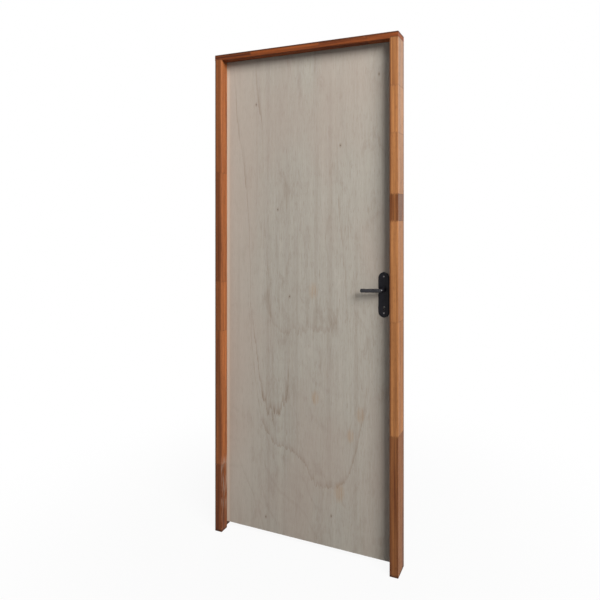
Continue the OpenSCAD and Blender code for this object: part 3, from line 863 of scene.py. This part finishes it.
def add_plate_screws(finish):
    middle = middle_height("front_plate")
    for name, face, outward in (("front_plate_screws", FRONT_PLATE_FACE, (0, -1, 0)),
                                ("back_plate_screws", BACK_PLATE_FACE, (0, 1, 0))):
        screws(name, "leaf", finish,
               screw_pair(PLATE_SCREW_X, face, middle, PLATE_SCREW_REACH), outward, DOMED_HEAD)


def camera_at_photo():
    """The photograph's view: level, turned to the left, with the frame's far side to the right."""
    data = bpy.data.cameras.new("view")
    camera = bpy.data.objects.new("view", data)
    bpy.context.scene.collection.objects.link(camera)
    data.sensor_width = SENSOR_WIDTH
    data.lens = PHOTO_FOCAL * SENSOR_WIDTH / PHOTO_WIDTH
    data.shift_x = (PHOTO_WIDTH / 2 - PHOTO_AXIS[0]) / PHOTO_WIDTH
    data.shift_y = (PHOTO_AXIS[1] - PHOTO_WIDTH / 2) / PHOTO_WIDTH
    camera.location = CAMERA_PLACE
    camera.rotation_euler = (math.pi / 2, 0.0, CAMERA_TURN)
    bpy.context.scene.camera = camera


def studio_light():
    for name, power, size, place, aim, color in LAMPS:
        data = bpy.data.lights.new(name, "AREA")
        data.shape = "RECTANGLE"
        data.size, data.size_y = size
        data.energy = power
        data.color = color
        lamp = bpy.data.objects.new(name, data)
        bpy.context.scene.collection.objects.link(lamp)
        lamp.location = place
        lamp.rotation_euler = (Vector(aim) - Vector(place)).to_track_quat("-Z", "Y").to_euler()


def seen_directly(g):
    """Whether the camera sees a surface itself, or sees it mirrored."""
    path = g.node("LightPath").outputs
    return g.highest(g.highest(path["Is Camera Ray"], path["Is Glossy Ray"]),
                     path["Is Transmission Ray"])


def white_world():
    world = bpy.data.worlds.new("studio")
    bpy.context.scene.world = world
    world.use_nodes = True
    g = Graph(world.node_tree)
    soft = g.node("Background", {"Color": (0.97, 0.98, 1.0, 1.0), "Strength": WORLD_GLOW})
    white = g.node("Background", {"Color": WHITE, "Strength": 1.0})
    both = g.node("MixShader", {0: seen_directly(g), 1: soft.outputs[0], 2: white.outputs[0]})
    g.node("OutputWorld", {0: both.outputs[0]})


def pale_floor():
    """A plain pale floor that keeps the door's shadow and fades to white away from it."""
    corners = [(x * FLOOR_REACH, y * FLOOR_REACH, 0)
               for x, y in ((-1, -1), (1, -1), (1, 1), (-1, 1))]
    mesh = bpy.data.meshes.new("floor")
    mesh.from_pydata(corners, [], [(0, 1, 2, 3)])
    floor = bpy.data.objects.new("floor", mesh)
    bpy.context.scene.collection.objects.link(floor)
    material, g, place = new_finish("pale_floor")
    away = g.node("VectorMath", {0: place, 1: (FRAME_WIDTH / 2, 0.0, 0.0)},
                  operation="DISTANCE").outputs["Value"]
    matt = g.node("BsdfDiffuse", {"Color": (FLOOR_GREY, FLOOR_GREY, FLOOR_GREY, 1.0),
                                  "Roughness": 0.5})
    white = g.node("Emission", {"Color": WHITE, "Strength": 1.0})
    fade = g.times(g.step(away, *FLOOR_FADE), seen_directly(g))
    both = g.node("MixShader", {0: fade, 1: matt.outputs[0], 2: white.outputs[0]})
    g.node("OutputMaterial", {0: both.outputs[0]})
    mesh.materials.append(material)


def dress_frame():
    dress(joined_hardwood("hinge_jamb_hardwood", HINGE_JAMB_LENGTHS,
                          (DARK_RED_HARDWOOD, LIGHT_RED_HARDWOOD), ("X", 0.0, 1.0),
                          front_painted_shade=HINGE_JAMB_PAINTED_SHADE, smear=True), "hinge_jamb")
    dress(joined_hardwood("lock_jamb_hardwood", LOCK_JAMB_LENGTHS,
                          (DARK_HARDWOOD, LIGHT_HARDWOOD), ("Y", FRAME_BACK, -1.0),
                          front_painted_shade=LOCK_JAMB_PAINTED_SHADE, fade_and_painted_light=LOCK_JAMB_PAINTED_LIGHT), "lock_jamb")
    dress(joined_hardwood("head_hardwood", HEAD_LENGTHS, (DARK_HEAD_WOOD, LIGHT_HEAD_WOOD),
                          ("Z", FRAME_HEIGHT, -1.0), along="X"), "head")


def dress_leaf():
    dress(leaf_veneer("front_veneer", 0.0, True), "front_skin")
    dress(leaf_veneer("back_veneer", BACK_FIGURE_SHIFT, False), "back_skin")
    dress(raw_softwood("stile_softwood", "Z"), "hinge_stile", "lock_stile", "lock_block")
    dress(raw_softwood("rail_softwood", "X"), "top_rail", "bottom_rail")
    dress(chip_core("chip_core"), "core")


def dress_hardware():
    dress(plated_steel("hinge_steel", ZINC, ZINC_ROUGHNESS),
          *(f"{part}_{where}" for part in ("frame_hinge", "leaf_hinge", "hinge_pin")
            for where in HINGE_BOTTOMS))
    dress(plated_steel("lock_steel", LOCK_PLATING, LOCK_ROUGHNESS), "lock_case", "lock_forend",
          "latch_bolt", "dead_bolt", "strike_plate", "spindle")
    dress(black_lacquer("plate_lacquer", PLATE_ROUGHNESS, PLATE_SHINE), "front_plate",
          "back_plate")
    dress(black_lacquer("lever_lacquer", LEVER_ROUGHNESS, LEVER_SHINE), "front_lever",
          "back_lever")
    screw_steel = plated_steel("screw_steel", SCREW_PLATING, SCREW_ROUGHNESS)
    add_hinge_screws(screw_steel)
    add_lock_screws(screw_steel)
    add_plate_screws(plated_steel("plate_screw_nickel", DARK_NICKEL, NICKEL_ROUGHNESS))


make_effects()
camera_at_photo()
white_world()
studio_light()
pale_floor()
dress_frame()
dress_leaf()
dress_hardware()
bpy.context.scene.view_settings.view_transform = "Standard"
